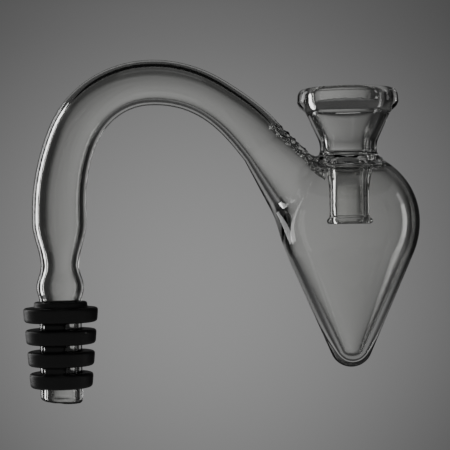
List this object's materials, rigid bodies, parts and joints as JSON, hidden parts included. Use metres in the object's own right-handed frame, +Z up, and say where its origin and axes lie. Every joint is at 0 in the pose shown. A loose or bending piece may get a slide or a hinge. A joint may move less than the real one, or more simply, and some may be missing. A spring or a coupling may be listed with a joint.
{
  "type": "s bend airlock",
  "caption": "Blown glass fermentation airlock: a pear-shaped bulb with a flared cup and dip tube, and a gooseneck down to a stem in a finned rubber bung.",
  "frame": {"origin": "on the stem's axis at the underside of the bung's top fin, where the rim of the bottle meets it", "axes": "+Z up along the stem, +X from the stem towards the bulb, +Y completes the right-handed frame"},
  "size_m": [0.1135, 0.04, 0.0977],
  "materials": {
    "glass": "clear, fire polished",
    "rubber": "black, satin"
  },
  "bodies": {
    "bung": {"bung": "rubber"},
    "glass": {"stem_tube": "glass", "rising_leg": "glass", "crown_bend": "glass", "falling_bend": "glass", "drop_leg": "glass", "bulb_inlet": "glass", "bulb": "glass", "ring_seal": "glass", "dip_tube": "glass", "cup": "glass", "cup_rim": "glass"}
  },
  "joints": [
    {"name": "stem_swivel", "type": "hinge", "parent": "bung", "child": "glass", "pos_m": [0, 0, 0], "axis": [0, 0, 1], "continuous": true}
  ]
}
